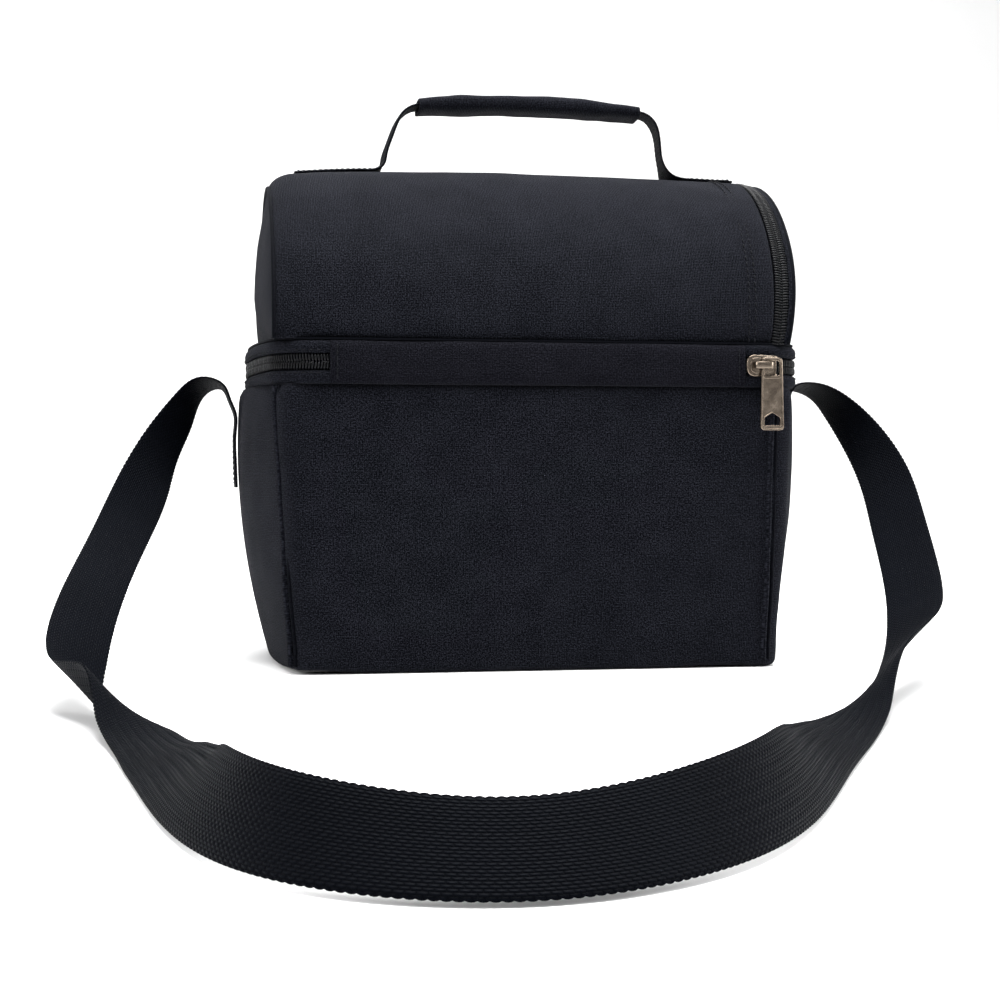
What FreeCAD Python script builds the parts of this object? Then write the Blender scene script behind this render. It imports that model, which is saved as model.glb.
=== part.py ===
import FreeCAD, Part
import math
import os

Vector = FreeCAD.Vector

# An insulated, two-compartment cooler bag, in millimetres.
# +X is the bag's right seen from its hinge side, -Y is the hinge side, +Z is up.
# The origin is the middle of the base, on the surface that the bag stands on.

# ---- driving dimensions -------------------------------------------------

# The walls' outline seen from above: half width at the corner seams, half depth,
# outward bulge of the two end walls, corner radius.
BASE_OUTLINE = (112.0, 80.0, 9.0, 8.0)
BELLY_OUTLINE = (115.0, 82.5, 19.0, 8.0)
SHOULDER_OUTLINE = (118.0, 84.0, 17.5, 8.0)
BAND_OUTLINE = (120.0, 85.0, 12.0, 22.0)

BELLY_Z = 60.0
BAND_Z0 = 131.0
BAND_Z1 = 151.0
ZIP_Z = 141.0

DOME_R = 84.0
DOME_AXIS_Z = 155.0
DOME_Z0 = 152.0
DOME_LEFT_X = -119.5
DOME_ZIP_X = 115.7
FLAP_SEAM_X = 121.5
END_BULGE_R = 507.0
LEFT_END_X = -128.2
RIGHT_END_X = 128.9

# Layers of the wall, as depths inward from the outline.
FABRIC = (0.0, 1.2)
ZIP_TAPE = (1.3, 1.9)
ZIP_COIL = (-0.8, 1.2)
FOAM = (1.4, 6.4)
LINING = (6.6, 7.4)
DOME_FOAM = (1.4, 5.4)
DOME_LINING = (5.6, 6.4)
TRIM = (-1.7, -0.1)
ANCHOR = (-2.0, -0.2)

# The zip: half of the gap between its two rows, and the width of one row.
ZIP_GAP = 0.6
COIL_WIDTH = 3.1
TAPE_START = 0.8

# The plain strip that joins the lid to the body, between the zip's two ends.
HINGE_X0 = -98.0
HINGE_X1 = 95.6

WEBBING_WIDTH = 25.4
WEBBING_THICK = 1.6

# The carrying handle, sewn on a little nearer the zipped end.
HANDLE_X = 6.0
HANDLE_AXIS_Z = 242.4
HANDLE_FOOT_X = 66.0
HANDLE_TOP_Z = 275.0
GRIP_HALF_LENGTH = 56.0
TAB_END_X = 109.5

# Slider and puller of a number 8 zip.
SLIDER_X = 103.0
SLIDER_LENGTH = 16.0
SLIDER_HEIGHT = 10.8
PULLER_LENGTH = 34.0
PULLER_WIDTH = 11.6
PULLER_THICK = 1.8
DOME_SLIDER_Z = 160.5

BIG = 800.0


# ---- helpers ------------------------------------------------------------

def box(x0, x1, y0, y1, z0, z1):
    return Part.makeBox(x1 - x0, y1 - y0, z1 - z0, Vector(x0, y0, z0))


def layer_z(z0, z1):
    """Everything between two heights."""
    return box(-BIG, BIG, -BIG, BIG, z0, z1)


def outline_wire(outline, inset, z):
    """Flat front and back, arched ends, rounded corners, at one height."""
    half_width, half_depth, bulge, corner = outline
    end_radius = (half_depth ** 2 + bulge ** 2) / (2.0 * bulge)
    end_centre = half_width + bulge - end_radius
    depth = half_depth - inset
    end_r = end_radius - inset
    corner_r = max(corner - inset, 1.5)
    corner_x = end_centre + math.sqrt((end_r - corner_r) ** 2 - (depth - corner_r) ** 2)
    turn = math.asin((depth - corner_r) / (end_r - corner_r))
    mid = (math.pi / 2.0 + turn) / 2.0
    # One quarter, from the middle of the flat side to the middle of the end.
    flat_end = (corner_x, depth)
    corner_mid = (corner_x + corner_r * math.cos(mid), depth - corner_r + corner_r * math.sin(mid))
    end_start = (end_centre + end_r * math.cos(turn), end_r * math.sin(turn))
    end_mid = (end_centre + end_r, 0.0)

    def at(point, sign_x, sign_y):
        return Vector(sign_x * point[0], sign_y * point[1], z)

    edges = []
    for sign_x, sign_y in ((1, -1), (1, 1), (-1, 1), (-1, -1)):
        corner_arc = [at(flat_end, sign_x, sign_y), at(corner_mid, sign_x, sign_y),
                      at(end_start, sign_x, sign_y)]
        if sign_x * sign_y > 0:
            corner_arc.reverse()
        edges.append((corner_arc, sign_x, sign_y))
    shapes = []
    for index, (corner_arc, sign_x, sign_y) in enumerate(edges):
        shapes.append(Part.Arc(*corner_arc).toShape())
        following = edges[(index + 1) % 4]
        if following[1] == sign_x:
            middle = Vector(sign_x * end_mid[0], 0, z)
            shapes.append(Part.Arc(corner_arc[2], middle, following[0][0]).toShape())
        else:
            shapes.append(Part.makeLine(corner_arc[2], following[0][0]))
    return Part.Wire(shapes)


def body_solid(inset, z0, z1):
    """The tapered, bellied lower body, inset from its outline."""
    top = BAND_Z0 + 5.0
    wires = [outline_wire(BASE_OUTLINE, inset, 0.0),
             outline_wire(BELLY_OUTLINE, inset, BELLY_Z),
             outline_wire(SHOULDER_OUTLINE, inset, top)]
    return Part.makeLoft(wires, True, False).common(layer_z(z0, z1))


def body_layer(layer, z0, z1):
    return body_solid(layer[0], z0, z1).cut(body_solid(layer[1], z0 - 1.0, z1 + 1.0))


def band_solid(inset, z0, z1):
    face = Part.Face(outline_wire(BAND_OUTLINE, inset, z0))
    return face.extrude(Vector(0, 0, z1 - z0))


def band_layer(layer, z0, z1):
    return band_solid(layer[0], z0, z1).cut(band_solid(layer[1], z0 - 1.0, z1 + 1.0))


def barrel(inset, x0, x1, z0=DOME_Z0):
    """The dome's half-round profile, inset, as a solid from x0 to x1."""
    r = DOME_R - inset
    left = Vector(x0, -r, z0)
    left_top = Vector(x0, -r, DOME_AXIS_Z)
    crown = Vector(x0, 0, DOME_AXIS_Z + r)
    right_top = Vector(x0, r, DOME_AXIS_Z)
    right = Vector(x0, r, z0)
    wire = Part.Wire([Part.makeLine(left, left_top), Part.Arc(left_top, crown, right_top).toShape(),
                      Part.makeLine(right_top, right), Part.makeLine(right, left)])
    return Part.Face(wire).extrude(Vector(x1 - x0, 0, 0))


def arch(layer, x0, x1):
    """A hoop of the dome: one layer of the barrel, open below."""
    return barrel(layer[0], x0, x1).cut(barrel(layer[1], x0 - 1.0, x1 + 1.0, DOME_Z0 - 1.0))


def end_cap(outer_x, seam_x):
    """A D-shaped end panel that bulges from its seam out to outer_x."""
    side = 1.0 if outer_x > 0 else -1.0
    centre = Vector(outer_x - side * END_BULGE_R, 0, DOME_AXIS_Z + 25.0)
    skin = Part.makeSphere(END_BULGE_R, centre).cut(Part.makeSphere(END_BULGE_R - FABRIC[1], centre))
    x0, x1 = sorted((seam_x, seam_x + side * 14.0))
    return barrel(0.0, x0, x1).common(skin)


def ribbon(front_edge, back_edge, thick):
    """A strip of webbing between two edges, each a list of points."""
    rows = []
    count = len(front_edge)
    for i in range(count):
        ahead = min(i + 1, count - 1)
        behind = max(i - 1, 0)
        along = (front_edge[ahead] + back_edge[ahead]) - (front_edge[behind] + back_edge[behind])
        across = front_edge[i] - back_edge[i]
        normal = along.cross(across)
        normal.normalize()
        normal = normal * (thick / 2.0)
        rows.append((front_edge[i] + normal, front_edge[i] - normal,
                     back_edge[i] - normal, back_edge[i] + normal))
    faces = []

    def triangle(a, b, c):
        faces.append(Part.Face(Part.makePolygon([a, b, c, a])))

    for a, b in zip(rows, rows[1:]):
        for k in range(4):
            j = (k + 1) % 4
            triangle(a[k], b[k], b[j])
            triangle(a[k], b[j], a[j])
    for row in (rows[0], rows[-1]):
        triangle(row[0], row[1], row[2])
        triangle(row[0], row[2], row[3])
    shell = Part.makeShell(faces)
    shell.sewShape()
    solid = Part.makeSolid(shell)
    if solid.Volume < 0:
        solid.reverse()
    return solid


def spline_points(points, count):
    """Evenly spaced points along a smooth curve through the given ones."""
    curve = Part.BSplineCurve()
    curve.interpolate(points)
    return curve.toShape().discretize(Number=count)


# ---- lower compartment ----------------------------------------------------

def seam_wedge(reach):
    """The space between the corner seams, moved outward by reach, tapering with the walls."""
    foot = BASE_OUTLINE[0] + reach
    head = SHOULDER_OUTLINE[0] + reach
    top = BAND_Z0 + 5.0
    points = [Vector(-foot, -BIG, -1), Vector(foot, -BIG, -1), Vector(head, -BIG, top),
              Vector(-head, -BIG, top), Vector(-foot, -BIG, -1)]
    return Part.Face(Part.makePolygon(points)).extrude(Vector(0, 2 * BIG, 0))


def lower_walls():
    skin = body_layer(FABRIC, 0.0, BAND_Z0)
    between = skin.common(seam_wedge(-5.0))
    beyond = skin.cut(seam_wedge(-3.0))
    fold = body_layer((-1.0, 1.2), 0.6, BAND_Z0 - 0.4)
    folds = fold.common(seam_wedge(-3.2)).cut(seam_wedge(-4.8))
    return {
        "hinge_side_panel": between.common(box(-BIG, BIG, -BIG, 0, -BIG, BIG)),
        "far_side_panel": between.common(box(-BIG, BIG, 0, BIG, -BIG, BIG)),
        "left_gusset": beyond.common(box(-BIG, 0, -BIG, BIG, -BIG, BIG)),
        "right_gusset": beyond.common(box(0, BIG, -BIG, BIG, -BIG, BIG)),
        "corner_seam_folds": folds,
    }


def lower_insulation():
    tub_floor = 8.8
    tub = body_solid(LINING[0], tub_floor, BAND_Z0 - 0.4)
    hollow = body_solid(LINING[1], tub_floor + 0.8, BAND_Z0 + 1.0)
    return {
        "bottom_panel": body_solid(1.4, 0.0, 1.2),
        "base_board": body_solid(1.6, 1.4, 3.4),
        "wall_foam": body_layer(FOAM, 3.6, BAND_Z0 - 0.4),
        "base_foam": body_solid(LINING[0], 3.6, 8.6),
        "body_lining": tub.cut(hollow),
    }


# ---- the band round the middle, its zip and the fabric hinge ---------------

def hinge_zone(margin):
    return box(HINGE_X0 + margin, HINGE_X1 - margin, -BIG, -70, -BIG, BIG)


def band():
    coil_reach = ZIP_GAP + COIL_WIDTH
    cloth_reach = coil_reach + 0.5
    zone = hinge_zone(0.0)
    clear_of_slider = box(HINGE_X0, 114.5, -BIG, -70, -BIG, BIG)
    strip = hinge_zone(0.2)
    return {
        "lower_band": band_layer(FABRIC, BAND_Z0, ZIP_Z - cloth_reach).cut(zone),
        "upper_band": band_layer(FABRIC, ZIP_Z + cloth_reach, BAND_Z1).cut(zone),
        "lower_zip_tape": band_layer(ZIP_TAPE, BAND_Z0, ZIP_Z - TAPE_START).cut(hinge_zone(8.0)),
        "upper_zip_tape": band_layer(ZIP_TAPE, ZIP_Z + TAPE_START, BAND_Z1).cut(hinge_zone(8.0)),
        "lower_zip_coil": band_layer(ZIP_COIL, ZIP_Z - coil_reach, ZIP_Z - ZIP_GAP).cut(zone),
        "upper_zip_coil": band_layer(ZIP_COIL, ZIP_Z + ZIP_GAP, ZIP_Z + coil_reach).cut(clear_of_slider),
        "hinge_strip_lower": band_layer(FABRIC, BAND_Z0, ZIP_Z - 0.4).common(strip),
        "hinge_strip_upper": band_layer(FABRIC, ZIP_Z + 0.4, BAND_Z1).common(strip),
    }


# ---- lid: divider and dome ---------------------------------------------------

def divider():
    inset = 2.2
    return {
        "divider_under_lining": band_solid(inset, 146.2, 147.0),
        "divider_foam": band_solid(inset, 147.2, 150.0),
        "divider_top_lining": band_solid(inset, 150.2, BAND_Z1),
        "divider_hem": band_layer((0.0, 6.0), BAND_Z1 + 0.1, DOME_Z0 - 0.1),
    }


def dome():
    left = DOME_LEFT_X
    foam_end = DOME_ZIP_X - 12.0
    board_x = left + 4.0
    lining = barrel(DOME_LINING[0], board_x + 0.2, foam_end)
    hollow = barrel(DOME_LINING[1], board_x + 1.0, foam_end + 1.0, DOME_Z0 - 1.0)
    return {
        "dome_panel": arch(FABRIC, left, DOME_ZIP_X - ZIP_GAP - COIL_WIDTH - 0.5),
        "dome_foam": arch(DOME_FOAM, board_x + 0.2, foam_end),
        "dome_lining": lining.cut(hollow),
        "left_end_panel": end_cap(LEFT_END_X, left - 0.2),
        "left_end_foam": barrel(DOME_FOAM[0], left, board_x),
        "left_end_piping": arch(TRIM, left - 1.2, left + 0.8),
        "dome_zip_tape": arch(ZIP_TAPE, foam_end + 0.3, DOME_ZIP_X - TAPE_START),
        "dome_zip_coil": arch(ZIP_COIL, DOME_ZIP_X - ZIP_GAP - COIL_WIDTH, DOME_ZIP_X - ZIP_GAP),
    }


def end_flap():
    coil_reach = ZIP_GAP + COIL_WIDTH
    inside = ZIP_TAPE[1] + 2.5
    foam_x = FLAP_SEAM_X - 4.0
    return {
        "end_flap_gusset": arch(FABRIC, DOME_ZIP_X + coil_reach + 0.5, FLAP_SEAM_X),
        "end_flap_zip_tape": arch(ZIP_TAPE, DOME_ZIP_X + TAPE_START, FLAP_SEAM_X),
        "end_flap_zip_coil": arch(ZIP_COIL, DOME_ZIP_X + ZIP_GAP, DOME_ZIP_X + coil_reach),
        "end_flap_panel": end_cap(RIGHT_END_X, FLAP_SEAM_X + 0.2),
        "end_flap_piping": arch(TRIM, FLAP_SEAM_X + 0.2, FLAP_SEAM_X + 2.2),
        "end_flap_foam": barrel(inside, foam_x, FLAP_SEAM_X),
        "end_flap_lining": barrel(inside, foam_x - 1.0, foam_x - 0.2),
    }


# ---- handle -------------------------------------------------------------------

def handle_tabs():
    hoop = arch(TRIM, -TAB_END_X, TAB_END_X)
    half = WEBBING_WIDTH / 2.0
    inner = HANDLE_FOOT_X - 4.0
    return {
        "left_handle_tab": hoop.common(box(-TAB_END_X, HANDLE_X - inner, -half, half, 0, BIG)),
        "right_handle_tab": hoop.common(box(HANDLE_X + inner, TAB_END_X, -half, half, 0, BIG)),
    }


def handle():
    """Two legs rise from narrow folded feet and turn into the padded grip."""
    path = [(HANDLE_FOOT_X, 0.0), (HANDLE_FOOT_X - 3.0, 12.0), (HANDLE_FOOT_X - 7.0, 24.0),
            (HANDLE_FOOT_X - 10.5, 30.0), (GRIP_HALF_LENGTH - 8.0, HANDLE_TOP_Z - HANDLE_AXIS_Z)]
    half_widths = [1.4, 5.0, 10.5, 11.5, 11.5]
    shapes = {}
    for name, side in (("left", -1.0), ("right", 1.0)):
        front = []
        back = []
        for (x, height), half in zip(path, half_widths):
            front.append(Vector(HANDLE_X + side * x, -half, HANDLE_AXIS_Z + height))
            back.append(Vector(HANDLE_X + side * x, half, HANDLE_AXIS_Z + height))
        shapes["handle_%s_leg" % name] = ribbon(front, back, WEBBING_THICK)
    tube = Part.makeBox(2 * GRIP_HALF_LENGTH - 10.0, 20.0, 9.0,
                        Vector(HANDLE_X - GRIP_HALF_LENGTH + 5.0, -10.0, HANDLE_TOP_Z - 4.5))
    shapes["handle_grip"] = tube.makeFillet(4.0, [e for e in tube.Edges if e.Length > 60.0])
    return shapes


# ---- shoulder strap -----------------------------------------------------------

# Centre of the webbing and the direction from its back edge to its front edge,
# from the left anchor, over its arch, along the floor in front and up to the right.
# Each station is a centre point and that direction.
STRAP_ROUTE = [
    (-141, 0, 127, 0.00, -1.00, 0.00),
    (-144, -1, 133, 0.00, -1.00, 0.05),
    (-152, -4, 134, -0.05, -0.95, 0.25),
    (-162, -11, 123, -0.25, -0.75, 0.55),
    (-172, -22, 106, -0.50, -0.60, 0.60),
    (-180, -39, 88, -0.80, -0.35, 0.45),
    (-188, -70, 68, -0.97, -0.05, 0.20),
    (-199, -129, 41, -0.98, 0.02, 0.19),
    (-203, -172, 21, -0.90, 0.02, 0.42),
    (-201, -197, 11.7, -0.70, 0.00, 0.72),
    (-189, -230, 11.9, -0.60, -0.10, 0.78),
    (-178, -264, 5, -0.97, -0.10, 0.20),
    (-171, -300, 3, -0.99, -0.10, -0.05),
    (-166, -338, 5, -0.94, -0.05, -0.30),
    (-161, -384, 8, -0.84, 0.00, -0.54),
    (-155, -440, 12, -0.50, -0.20, -0.84),
    (-134, -492, 12.5, -0.15, -0.50, -0.85),
    (-90, -511, 10.5, 0.05, -0.68, -0.73),
    (-40, -492, 12.5, 0.20, -0.50, -0.83),
    (-3, -443, 12.8, 0.40, -0.20, -0.89),
    (22, -389, 9.5, 0.75, 0.10, -0.64),
    (49, -332, 5.6, 0.93, 0.10, -0.35),
    (80, -270, 4, 0.97, 0.05, 0.10),
    (112, -216, 13, 0.62, -0.12, 0.78),
    (151, -152, 30, 0.85, -0.35, 0.40),
    (171, -83, 69, 0.87, -0.40, 0.28),
    (174, -60, 88, 0.70, -0.55, 0.42),
    (171, -38, 108, 0.40, -0.75, 0.50),
    (163, -19, 126, 0.10, -0.90, 0.35),
    (153, -6, 135, -0.05, -0.97, 0.15),
    (144, -1, 134, 0.00, -1.00, 0.05),
    (141, 0, 127, 0.00, -1.00, 0.00),
]
STRAP_STEPS = 90


def strap():
    front = []
    back = []
    for x, y, z, dx, dy, dz in STRAP_ROUTE:
        across = Vector(dx, dy, dz)
        across.normalize()
        across = across * (WEBBING_WIDTH / 2.0)
        front.append(Vector(x, y, z) + across)
        back.append(Vector(x, y, z) - across)
    front = spline_points(front, STRAP_STEPS)
    back = spline_points(back, STRAP_STEPS)
    half = WEBBING_WIDTH / 2.0
    anchor = body_layer(ANCHOR, 84.0, 125.0)
    return {
        "shoulder_strap": ribbon(front, back, WEBBING_THICK),
        "left_strap_anchor": anchor.common(box(-BIG, 0, -half, half, 0, BIG)),
        "right_strap_anchor": anchor.common(box(0, BIG, -half, half, 0, BIG)),
    }


# ---- sliders and pullers --------------------------------------------------------

def slider():
    """A slider at the origin: z across the zip, x along it, -y outward from the coil."""
    half = SLIDER_LENGTH / 2.0
    tall = SLIDER_HEIGHT / 2.0
    edge = [(-half, 0.5 * tall), (-0.75 * half, 0.88 * tall), (-0.25 * half, tall),
            (0.6 * half, 0.88 * tall), (half, 0.75 * tall)]
    upper = [Vector(x, -1.5, z) for x, z in edge]
    lower = [Vector(x, -1.5, -z) for x, z in reversed(edge)]
    plate = Part.Face(Part.makePolygon(upper + lower + upper[:1])).extrude(Vector(0, -1.5, 0))
    post = box(-2.5, 2.5, -1.6, 2.6, -0.3, 0.3)
    inner = box(-3.5, 3.5, 2.5, 3.3, -2.2, 2.2)
    bridge = box(-4.5, 5.0, -7.6, -6.4, -1.5, 1.5)
    nose_leg = box(-4.5, -3.1, -6.5, -2.9, -1.5, 1.5)
    tail_leg = box(3.6, 5.0, -6.5, -2.9, -1.5, 1.5)
    return plate.fuse([post, inner, bridge, nose_leg, tail_leg]).removeSplitter()


def puller():
    """A pull tab hanging from the origin, with a window for the bridge and a hole below."""
    half = PULLER_WIDTH / 2.0
    thick = PULLER_THICK / 2.0
    top = 3.4
    tab = box(-half, half, -thick, thick, top - PULLER_LENGTH, top)
    tab = tab.makeFillet(2.2, [e for e in tab.Edges if abs(e.Length - PULLER_THICK) < 0.01])
    window = box(-4.0, 4.0, -BIG, BIG, -5.2, 1.8)
    foot = top - PULLER_LENGTH + 2.4
    gable = [Vector(-3.8, -9, foot), Vector(3.8, -9, foot), Vector(3.8, -9, foot + 3.6),
             Vector(0, -9, foot + 5.8), Vector(-3.8, -9, foot + 3.6), Vector(-3.8, -9, foot)]
    hole = Part.Face(Part.makePolygon(gable)).extrude(Vector(0, 18, 0))
    return tab.cut(window).cut(hole)


def placed(shape, turn_axis, turn_deg, position):
    shape = shape.copy()
    shape.rotate(Vector(0, 0, 0), turn_axis, turn_deg)
    shape.translate(position)
    return shape


def sliders():
    x_axis = Vector(1, 0, 0)
    y_axis = Vector(0, 1, 0)
    z_axis = Vector(0, 0, 1)
    main = Vector(SLIDER_X, -BAND_OUTLINE[1], ZIP_Z)
    tilt = math.asin((DOME_SLIDER_Z - DOME_AXIS_Z) / DOME_R)
    on_dome = slider()
    on_dome.rotate(Vector(0, 0, 0), y_axis, 90)
    on_dome.rotate(Vector(0, 0, 0), z_axis, 180)
    on_dome.translate(Vector(DOME_ZIP_X, DOME_R, DOME_AXIS_Z))
    on_dome.rotate(Vector(0, 0, DOME_AXIS_Z), x_axis, math.degrees(tilt))
    bar_r = DOME_R + 4.7
    bar = Vector(DOME_ZIP_X, bar_r * math.cos(tilt), DOME_AXIS_Z + bar_r * math.sin(tilt))
    return {
        "main_slider": placed(slider(), z_axis, 0, main),
        "main_puller": placed(puller(), z_axis, 0, main + Vector(4.7, -4.7, 0.4)),
        "dome_slider": on_dome,
        "dome_puller": placed(puller(), z_axis, 180, bar - Vector(0, 0, 2.6)),
    }


def main():
    os.makedirs("parts", exist_ok=True)
    groups = [lower_walls(), lower_insulation(), band(), divider(), dome(), end_flap(),
              handle_tabs(), handle(), strap(), sliders()]
    for group in groups:
        for name, shape in group.items():
            solids = shape.Solids
            print("%-24s solids %d  volume %9.1f mm3  valid %s"
                  % (name, len(solids), shape.Volume, shape.isValid()))
            Part.makeCompound(solids).exportStep("parts/%s.step" % name)


main()
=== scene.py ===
import math
import bmesh
import bpy
import numpy as np
from mathutils import Matrix, Vector, noise


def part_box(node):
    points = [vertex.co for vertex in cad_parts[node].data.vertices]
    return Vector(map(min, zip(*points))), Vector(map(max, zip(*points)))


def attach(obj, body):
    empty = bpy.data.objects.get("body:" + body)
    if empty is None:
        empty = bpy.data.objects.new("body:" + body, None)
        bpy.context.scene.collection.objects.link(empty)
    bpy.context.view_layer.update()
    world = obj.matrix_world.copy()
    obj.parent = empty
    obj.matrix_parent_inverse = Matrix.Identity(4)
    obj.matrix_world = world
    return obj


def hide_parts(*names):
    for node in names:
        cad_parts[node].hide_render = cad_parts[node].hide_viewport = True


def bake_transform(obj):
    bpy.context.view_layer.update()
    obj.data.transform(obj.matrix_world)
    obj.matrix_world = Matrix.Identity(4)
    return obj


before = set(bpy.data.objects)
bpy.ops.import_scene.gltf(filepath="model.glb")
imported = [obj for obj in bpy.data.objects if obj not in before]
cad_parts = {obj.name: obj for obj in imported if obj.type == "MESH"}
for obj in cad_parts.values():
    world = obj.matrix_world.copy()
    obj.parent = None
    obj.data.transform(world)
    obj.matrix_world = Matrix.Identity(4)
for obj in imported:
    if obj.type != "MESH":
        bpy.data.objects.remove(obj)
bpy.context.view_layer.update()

# The insulated cooler bag's looks. Lengths are in metres; MM turns millimetres into metres.
MM = 0.001

# ---- sizes taken from the frame -------------------------------------------------

BAND_Z0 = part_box("lower_band")[0][2]
BAND_Z1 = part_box("upper_band")[1][2]
ZIP_Z = (BAND_Z0 + BAND_Z1) / 2
DOME_Z0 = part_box("dome_panel")[0][2]
DOME_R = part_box("dome_panel")[1][1]
DOME_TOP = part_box("dome_panel")[1][2]
DOME_AXIS_Z = DOME_TOP - DOME_R
SEAM_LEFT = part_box("dome_panel")[0][0] - 2.8 * MM
FLAP_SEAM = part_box("end_flap_gusset")[1][0]
DOME_ZIP_X = (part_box("dome_zip_coil")[1][0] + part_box("end_flap_zip_coil")[0][0]) / 2
HINGE_X0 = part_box("hinge_strip_lower")[0][0]
HINGE_X1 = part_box("hinge_strip_lower")[1][0]
BAND_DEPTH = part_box("lower_band")[1][1]

# Outlines seen from above: half width at the corners, half depth, end bulge, corner radius.
BASE_OUTLINE = np.array((112, 80, 9, 8)) * MM
BELLY_OUTLINE = np.array((115, 82.5, 19, 8)) * MM
SHOULDER_OUTLINE = np.array((118, 84, 17.5, 8)) * MM
BAND_OUTLINE = np.array((120, 85, 12, 22)) * MM
BELLY_Z = 0.060

COIL_PITCH = 1.35 * MM
COIL_WIDTH = 3.1 * MM
COIL_GAP = 0.15 * MM
STITCH_LENGTH = 2.3 * MM
STITCH_STEP = 3.4 * MM
WEBBING_WIDTH = 25.4 * MM
WEBBING_THICK = 1.5 * MM
RIB_PITCH = 2.5 * MM
RIB_RELIEF = 0.20 * MM
BAND_SAG = 0.35 * MM


# ---- materials --------------------------------------------------------------------

def node_maker(material):
    """Return a short way to add nodes and links to a material."""
    tree = material.node_tree

    def add(kind, inputs=None, **settings):
        node = tree.nodes.new(kind)
        for key, value in settings.items():
            setattr(node, key, value)
        for key, value in (inputs or {}).items():
            socket = node.inputs[key]
            if isinstance(value, bpy.types.NodeSocket):
                tree.links.new(value, socket)
            else:
                socket.default_value = value
        return node
    return add


def new_material(name):
    material = bpy.data.materials.new(name)
    material.use_nodes = True
    return material, node_maker(material), material.node_tree.nodes["Principled BSDF"]


def math_node(add, operation, a, b=0.0, c=0.0):
    return add("ShaderNodeMath", {0: a, 1: b, 2: c}, operation=operation).outputs[0]


def mixed_colour(add, factor, dark, light):
    node = add("ShaderNodeMix", data_type="RGBA")
    tree = node.id_data
    tree.links.new(factor, node.inputs[0])
    node.inputs[6].default_value = (*dark, 1)
    node.inputs[7].default_value = (*light, 1)
    return node.outputs[2]


def weave_height(add, pitch):
    """Plain weave: crossed threads, one over one under, from the surface's own UV in metres."""
    uv = add("ShaderNodeTexCoord").outputs["UV"]
    split = add("ShaderNodeSeparateXYZ", {0: uv})
    wobble = add("ShaderNodeTexNoise", {"Vector": uv, "Scale": 260.0, "Detail": 2.0}).outputs["Fac"]
    waves = []
    for axis in ("X", "Y"):
        turns = math_node(add, "MULTIPLY", split.outputs[axis], math.pi / pitch)
        shifted = math_node(add, "MULTIPLY_ADD", wobble, 1.6, turns)
        waves.append(math_node(add, "SINE", shifted))
    cross = math_node(add, "MULTIPLY", waves[0], waves[1])
    return math_node(add, "ABSOLUTE", cross), uv


def fabric(name, dark, light, pitch, sheen, bump, roughness=0.86):
    """Woven polyester: weave bump, slight mottling where fibres fade, a soft sheen."""
    material, add, shader = new_material(name)
    height, uv = weave_height(add, pitch)
    cloud = add("ShaderNodeTexNoise", {"Vector": uv, "Scale": 55.0, "Detail": 5.0, "Roughness": 0.65})
    speck = add("ShaderNodeTexNoise", {"Vector": uv, "Scale": 1450.0, "Detail": 1.0})
    tone = math_node(add, "MULTIPLY_ADD", cloud.outputs["Fac"], 0.25, math_node(
        add, "MULTIPLY", height, 0.14))
    tone = math_node(add, "MULTIPLY_ADD", speck.outputs["Fac"], 1.30, tone)
    ramp = add("ShaderNodeMapRange", {"Value": tone, "From Min": 0.70, "From Max": 1.10})
    colour = mixed_colour(add, ramp.outputs[0], dark, light)
    rough = math_node(add, "MULTIPLY_ADD", height, -0.10, roughness)
    relief = math_node(add, "MULTIPLY_ADD", speck.outputs["Fac"], 0.6, height)
    bumped = add("ShaderNodeBump", {"Height": relief, "Strength": bump, "Distance": 0.00025})
    tree = material.node_tree
    tree.links.new(colour, shader.inputs["Base Color"])
    tree.links.new(rough, shader.inputs["Roughness"])
    tree.links.new(bumped.outputs[0], shader.inputs["Normal"])
    shader.inputs["Sheen Weight"].default_value = sheen
    shader.inputs["Sheen Roughness"].default_value = 0.45
    shader.inputs["Sheen Tint"].default_value = (0.80, 0.82, 0.95, 1)
    shader.inputs["Specular IOR Level"].default_value = 0.028
    shader.inputs["Specular Tint"].default_value = (0.84, 0.91, 1.0, 1)
    return material


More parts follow.
